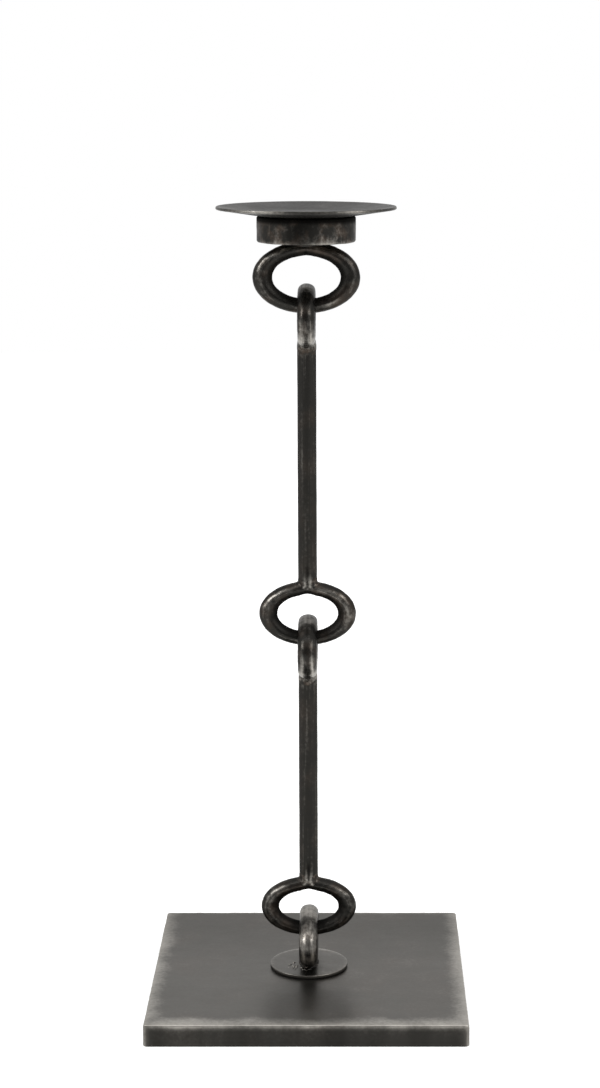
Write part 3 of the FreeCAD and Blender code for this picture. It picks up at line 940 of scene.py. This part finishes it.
class CANDLESTAND_OT_welds(bpy.types.Operator):
    """Model the welds of the stem, fitted against the bars that they join"""
    bl_idname = "candle_stand.welds"
    bl_label = "Welds"

    def execute(self, context):
        metal = weld_metal(context.scene.candle_stand_colours)
        welds = {}
        for rod, (ring, link) in RODS.items():
            welds[rod + "_foot_weld"] = model_foot_weld(rod, ring)
            welds[rod + "_neck_weld"] = model_neck_weld(rod, link)
        for node, (link, ring) in CROSSINGS.items():
            welds[node] = model_crossing_weld(node, link, ring)
        disc_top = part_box("base_disc")[1].z
        welds["base_link_weld"] = model_seat_weld("base_link_weld", "base_link", "base_disc_worn", disc_top)
        add_spatter(welds["base_link_weld"])
        drum_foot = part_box("drum")[0].z
        welds["top_ring_weld"] = model_seat_weld("top_ring_weld", "top_ring", "drum_sawn", drum_foot)
        welds["pan_plug_weld"] = model_plug()
        for node, weld in welds.items():
            finish_piece(weld, node + "_bead", metal, node)
        return {"FINISHED"}


# Drum and drip pan

def model_drum(sizes):
    """A short slice of thick bar with rounded rims."""
    low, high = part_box("drum")
    radius = high.x
    deselect_all()
    bpy.ops.mesh.primitive_cylinder_add(vertices=160, radius=radius, depth=high.z - low.z,
                                        location=(low + high) / 2)
    drum = placed()
    with edit_mode(drum):
        choose(drum, "EDGE", level_at(low.z, high.z))
        bpy.ops.mesh.bevel(offset=sizes.drum_edge_round, segments=4, affect="EDGES")
        choose(drum, "EDGE", lambda start, end: upright(start, end) and abs(start.z - end.z) > 5 * MM)
        bpy.ops.mesh.subdivide(number_cuts=12)
        choose(drum, "FACE", lambda middle, normal: abs(normal.z) > 0.99 and middle.xy.length < TINY)
        for _ in range(10):
            bpy.ops.mesh.inset(thickness=2.2 * MM)
    dent(drum, "drum_waves", "CLOUDS", 6.0 * MM, 0.25 * MM)
    points = points_of(drum)
    keep_layer(drum, "rub_and_highlight", drum_rubs_and_highlights(points, low.z, high.z))
    # Painted shadow of the pan: a dark band round the top 3 mm of the drum
    pan_shadow_band = 0.95 / (1.0 + np.exp((high.z - points[:, 2] - 3.0 * MM) / (0.3 * MM)))
    turn = turn_of(points)
    # Painted shade: a dark upright stripe down the drum's front
    front_shade = 0.6 * np.exp(-((turn + 8) / 15) ** 2)
    keep_layer(drum, "painted_shade", np.maximum(pan_shadow_band, front_shade))
    return drum


# Where the drum is rubbed and given painted highlights: the angle from the front towards +X and its width,
# in degrees, and how much
DRUM_RUBS_AND_HIGHLIGHTS = ((-36, 8, 0.15), (14, 14, 0.18), (32, 9, 0.2), (150, 16, 0.3), (-130, 12, 0.25))


def drum_rubs_and_highlights(points, bottom, top):
    """Rubbed along the lower rim, and in a few upright patches that are partly rubbed and partly painted
    highlight.
    """
    z = points[:, 2]
    lower_rim = 0.45 * fade(z - bottom, 1.0 * MM)
    turn = turn_of(points)
    low_down = 1.0 - np.clip((z - bottom) / (top - bottom), 0.0, 1.0)
    patches = 0.0
    for middle, width, amount in DRUM_RUBS_AND_HIGHLIGHTS:
        patches = patches + amount * np.exp(-((turn - middle) / width) ** 2)
    return 0.08 + lower_rim + patches * (0.1 + 0.9 * low_down ** 2)


def pan_rows():
    """Radius and height of the underside of the pan's wall, from its middle hole to its lip."""
    low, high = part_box("drip_pan")
    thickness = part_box("pan_plug_weld")[1].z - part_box("pan_plug_weld")[0].z
    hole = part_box("pan_plug_weld")[1].x
    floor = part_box("drum")[1].x - 1.0 * MM
    rise = high.z - low.z - thickness
    slope = math.atan2(rise, high.x - floor)
    bend = 30 * MM
    half_bend = bend * math.tan(slope / 2)
    rows = [(hole + (floor - half_bend - hole) * step / 10, low.z) for step in range(10)]
    for step in range(6):
        turn = slope * step / 5
        rows.append((floor - half_bend + bend * math.sin(turn), low.z + bend * (1 - math.cos(turn))))
    start, height = rows[-1]
    for step in range(1, 15):
        reach = start + (high.x - start) * step / 14
        rows.append((reach, height + (reach - start) * math.tan(slope)))
    return rows, thickness


def model_pan(sizes):
    """The pan: a floor and a low brim drawn out row by row, then given a thickness and a rounded lip."""
    rows, thickness = pan_rows()
    radius, height = rows[0]
    lip = rows[-1][0]
    deselect_all()
    bpy.ops.mesh.primitive_circle_add(vertices=192, radius=radius, fill_type="NOTHING",
                                      location=(0, 0, height))
    pan = placed()
    with edit_mode(pan):
        for row, following in zip(rows, rows[1:]):
            rise = following[1] - row[1]
            bpy.ops.mesh.extrude_edges_move(TRANSFORM_OT_translate={"value": (0, 0, rise)})
            growth = following[0] / row[0]
            bpy.ops.transform.resize(value=(growth, growth, 1), center_override=(0, 0, following[1]))
        bpy.ops.mesh.select_all(action="SELECT")
        bpy.ops.mesh.normals_make_consistent(inside=False)
    if sum(face.normal.z for face in pan.data.polygons) < 0:
        with edit_mode(pan):
            bpy.ops.mesh.flip_normals()
    apply_modifier(pan, "SOLIDIFY", thickness=thickness, offset=1.0, use_even_offset=True)
    with edit_mode(pan):
        outside = lip - 0.4 * MM
        choose(pan, "EDGE", lambda start, end: min(start.xy.length, end.xy.length) > outside
               and abs(start.z - end.z) < TINY)
        bpy.ops.mesh.bevel(offset=sizes.pan_lip_round, segments=3, affect="EDGES")
    points = points_of(pan)
    reach = np.hypot(points[:, 0], points[:, 1])
    from_lip = lip - reach
    turn = turn_of(points)
    # Painted highlights at the front left and right of the lip, over an even rub all round
    at_left = np.exp(-((turn + 32) / 18) ** 2)
    at_right = np.exp(-((turn - 32) / 16) ** 2)
    keep_layer(pan, "rub_and_highlight", (0.2 + 0.28 * at_left + 0.16 * at_right) * fade(from_lip - 0.5 * MM, 2.5 * MM))
    # Painted shade under the pan, lighter below the painted highlights
    underneath = np.clip(-points_of(pan, "normal")[:, 2] * 1.5, 0.0, 1.0)
    underside_shade = 0.9 * underneath * (1.0 - 0.7 * at_left - 0.5 * at_right)
    keep_layer(pan, "painted_shade", underside_shade * (1.0 - fade(from_lip - 2.0 * MM, 2.5 * MM)))
    return pan


def model_plug():
    """The plug weld in the middle of the pan, ground flush with its floor."""
    low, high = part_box("pan_plug_weld")
    radius = high.x
    edge = 0.1 * MM
    rows = [(low.z, radius, radius), (high.z - edge, radius, radius), (high.z, radius - edge, radius - edge)]
    plug = stack_of_rows(rows)
    with edit_mode(plug):
        choose(plug, "FACE", lambda middle, normal: normal.z > 0.99)
        for _ in range(5):
            bpy.ops.mesh.inset(thickness=0.8 * MM)
    dent(plug, "plug_waves", "CLOUDS", 2.0 * MM, 0.08 * MM)
    keep_layer(plug, "rub_and_highlight", np.full(len(plug.data.vertices), 0.3))
    return plug


class CANDLESTAND_OT_top(bpy.types.Operator):
    """Model the drum and the drip pan on it"""
    bl_idname = "candle_stand.top"
    bl_label = "Drum and Pan"

    def execute(self, context):
        sizes = context.scene.candle_stand_sizes
        colours = context.scene.candle_stand_colours
        finish_piece(model_drum(sizes), "drum_sawn", drum_steel(colours), "drum")
        finish_piece(model_pan(sizes), "drip_pan_spun", pan_steel(colours), "drip_pan")
        return {"FINISHED"}


# Fixings under the plate

def model_stud():
    """The stud: a plain shank drawn with the rings of its thread."""
    low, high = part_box("base_stud")
    pitch = 1.25 * MM
    crest = high.x
    root = crest - 0.5 * MM
    rows = [(low.z, root, root)]
    height = low.z + pitch / 2
    while height < high.z - pitch:
        rows.append((height, crest, crest))
        rows.append((height + pitch / 2, root, root))
        height += pitch
    rows.append((high.z, root, root))
    return stack_of_rows(rows, points=48)


def model_washer():
    """The flat washer, with its edges broken."""
    low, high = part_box("base_washer")
    edge = 0.2 * MM
    rows = [(low.z, high.x - edge, high.x - edge), (low.z + edge, high.x, high.x),
            (high.z - edge, high.x, high.x), (high.z, high.x - edge, high.x - edge)]
    washer = stack_of_rows(rows, points=72)
    cut_away(washer, bpy.data.objects["base_stud_threaded"])
    return washer


def model_nut():
    """The thin six-sided nut, with the corners of its faces turned off."""
    low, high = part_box("base_nut")
    corner = max(high.x, high.y)
    deselect_all()
    bpy.ops.mesh.primitive_cylinder_add(vertices=6, radius=corner, depth=high.z - low.z,
                                        location=(low + high) / 2)
    nut = placed()
    with edit_mode(nut):
        bpy.ops.mesh.bevel(offset=0.25 * MM, segments=2, affect="EDGES")
    cut_away(nut, bpy.data.objects["base_stud_threaded"])
    return nut


class CANDLESTAND_OT_fixings(bpy.types.Operator):
    """Model the stud, washer and nut that hold the disc from below"""
    bl_idname = "candle_stand.fixings"
    bl_label = "Fixings"

    def execute(self, context):
        zinc = zinc_plate(context.scene.candle_stand_colours)
        finish_piece(model_stud(), "base_stud_threaded", zinc, "base_stud")
        finish_piece(model_washer(), "base_washer_plated", zinc, "base_washer")
        finish_piece(model_nut(), "base_nut_plated", zinc, "base_nut")
        return {"FINISHED"}


# Studio

def light_world():
    """White where the camera looks, and a soft studio in the metal: bright all round, dimmer in front."""
    world = bpy.data.worlds.new("studio")
    world.use_nodes = True
    bpy.context.scene.world = world
    tree = world.node_tree
    tree.nodes.clear()
    rays = add_node(tree, "LightPath").outputs
    direction = add_node(tree, "SeparateXYZ", {0: add_node(tree, "TexCoord").outputs["Generated"]})
    front_level = 0.35
    room = add_node(tree, "MapRange", {0: direction.outputs["Y"], 1: -0.95, 2: 0.1, 3: front_level, 4: 1.0},
                    interpolation_type="SMOOTHSTEP")
    mirrored = add_node(tree, "Math", {0: rays["Is Glossy Ray"], 1: rays["Is Transmission Ray"]},
                        operation="MAXIMUM")
    plain_level = 0.4
    level = add_node(tree, "Mix", {0: mirrored.outputs[0], 2: plain_level, 3: 1.0}, data_type="FLOAT")
    soft = add_node(tree, "Math", {0: room.outputs[0], 1: level.outputs[0]}, operation="MULTIPLY")
    strength = add_node(tree, "Mix", {0: rays["Is Camera Ray"], 2: soft.outputs[0], 3: 1.0},
                        data_type="FLOAT")
    background = add_node(tree, "Background", {"Color": (1, 1, 1, 1), "Strength": strength.outputs[0]})
    output = add_node(tree, "OutputWorld")
    tree.links.new(background.outputs[0], output.inputs[0])


def floor_finish(colours):
    """Matt white paint that keeps the shadow, with a glow that only the camera and the metal see."""
    material, tree, output = new_material("studio_floor_matt_white")
    rays = add_node(tree, "LightPath").outputs
    seen = add_node(tree, "Math", {0: rays["Is Camera Ray"], 1: rays["Is Glossy Ray"]}, operation="MAXIMUM")
    seen = add_node(tree, "Math", {0: seen.outputs[0], 1: rays["Is Transmission Ray"]}, operation="MAXIMUM")
    place = add_node(tree, "TexCoord").outputs["Object"]
    far = add_node(tree, "VectorMath", {0: place}, operation="LENGTH")
    share = add_node(tree, "MapRange", {0: far.outputs["Value"], 1: 0.25, 2: 1.2, 3: 0.5, 4: 1.0})
    glow = add_node(tree, "Math", {0: seen.outputs[0], 1: share.outputs[0]}, operation="MULTIPLY")
    matt = add_node(tree, "BsdfPrincipled", {"Base Color": (*colours.studio_white, 1), "Roughness": 0.9,
                                             "Specular IOR Level": 0.0, "Emission Color": (1, 1, 1, 1),
                                             "Emission Strength": glow.outputs[0]})
    tree.links.new(matt.outputs[0], output.inputs[0])
    return material


def add_floor(colours):
    """A wide round floor."""
    deselect_all()
    bpy.ops.mesh.primitive_circle_add(vertices=96, radius=3.0, fill_type="NGON")
    floor = placed()
    floor.name = "studio_floor"
    floor.data.materials.append(floor_finish(colours))


def add_softbox(name, place, width, height, watts):
    """One soft rectangular lamp that faces the middle of the stand."""
    deselect_all()
    aim = Vector((0, 0, 0.2)) - Vector(place)
    bpy.ops.object.light_add(type="AREA", location=place, rotation=aim.to_track_quat("-Z", "Y").to_euler())
    lamp = bpy.context.active_object
    lamp.name = name
    lamp.data.shape = "RECTANGLE"
    lamp.data.size = width
    lamp.data.size_y = height
    lamp.data.energy = watts


# The camera's place, how far it looks down, its lens in millimetres and its shift, which the plate's corners
# and the stem's length give
CAMERA_PLACE = (0.02475, -1.26024, 0.50254)
CAMERA_TILT = math.radians(11.34)
CAMERA_LENS = 79.59
CAMERA_SHIFT = -0.0494


def add_camera():
    """The camera in front of the stand, looking a little down."""
    deselect_all()
    bpy.ops.object.camera_add(location=CAMERA_PLACE, rotation=(math.pi / 2 - CAMERA_TILT, 0, 0))
    camera = bpy.context.active_object
    camera.data.sensor_width = 36.0
    camera.data.lens = CAMERA_LENS
    camera.data.shift_x = CAMERA_SHIFT
    camera.data.clip_start = 0.05
    bpy.context.scene.camera = camera


class CANDLESTAND_OT_studio(bpy.types.Operator):
    """Add the floor, the lamps, the soft surround and the camera"""
    bl_idname = "candle_stand.studio"
    bl_label = "Studio"

    def execute(self, context):
        light_world()
        add_floor(context.scene.candle_stand_colours)
        add_softbox("left_softbox", (-1.0, -0.42, 0.95), 0.45, 0.6, 10.0)
        add_softbox("right_softbox", (0.95, -0.6, 0.95), 0.7, 0.7, 10.0)
        add_softbox("overhead_softbox", (0.0, -0.3, 1.6), 1.2, 0.9, 6.0)
        add_camera()
        context.scene.view_settings.view_transform = "Standard"
        return {"FINISHED"}


class CANDLESTAND_PT_panel(bpy.types.Panel):
    """Lists the operators and the settings of the candle stand"""
    bl_label = "Candle Stand"
    bl_idname = "CANDLESTAND_PT_panel"
    bl_space_type = "VIEW_3D"
    bl_region_type = "UI"
    bl_category = "Candle Stand"

    def draw(self, context):
        for operator in OPERATORS:
            self.layout.operator(operator.bl_idname)
        for settings in (context.scene.candle_stand_sizes, context.scene.candle_stand_colours):
            column = self.layout.column(align=True)
            for setting in settings.__annotations__:
                column.prop(settings, setting)


# In the order in which they run, as later pieces are fitted to the earlier ones
OPERATORS = (
    CANDLESTAND_OT_base,
    CANDLESTAND_OT_loops,
    CANDLESTAND_OT_rods,
    CANDLESTAND_OT_top,
    CANDLESTAND_OT_welds,
    CANDLESTAND_OT_fixings,
    CANDLESTAND_OT_studio,
)
CLASSES = (CandleStandSizes, CandleStandColours, *OPERATORS, CANDLESTAND_PT_panel)


def register():
    for each in CLASSES:
        bpy.utils.register_class(each)
    bpy.types.Scene.candle_stand_sizes = PointerProperty(type=CandleStandSizes)
    bpy.types.Scene.candle_stand_colours = PointerProperty(type=CandleStandColours)


def unregister():
    del bpy.types.Scene.candle_stand_colours
    del bpy.types.Scene.candle_stand_sizes
    for each in reversed(CLASSES):
        bpy.utils.unregister_class(each)


def main():
    """Build every piece and the studio."""
    register()
    bpy.ops.candle_stand.base()
    bpy.ops.candle_stand.loops()
    bpy.ops.candle_stand.rods()
    bpy.ops.candle_stand.top()
    bpy.ops.candle_stand.welds()
    bpy.ops.candle_stand.fixings()
    bpy.ops.candle_stand.studio()


if __name__ == "__main__":
    main()
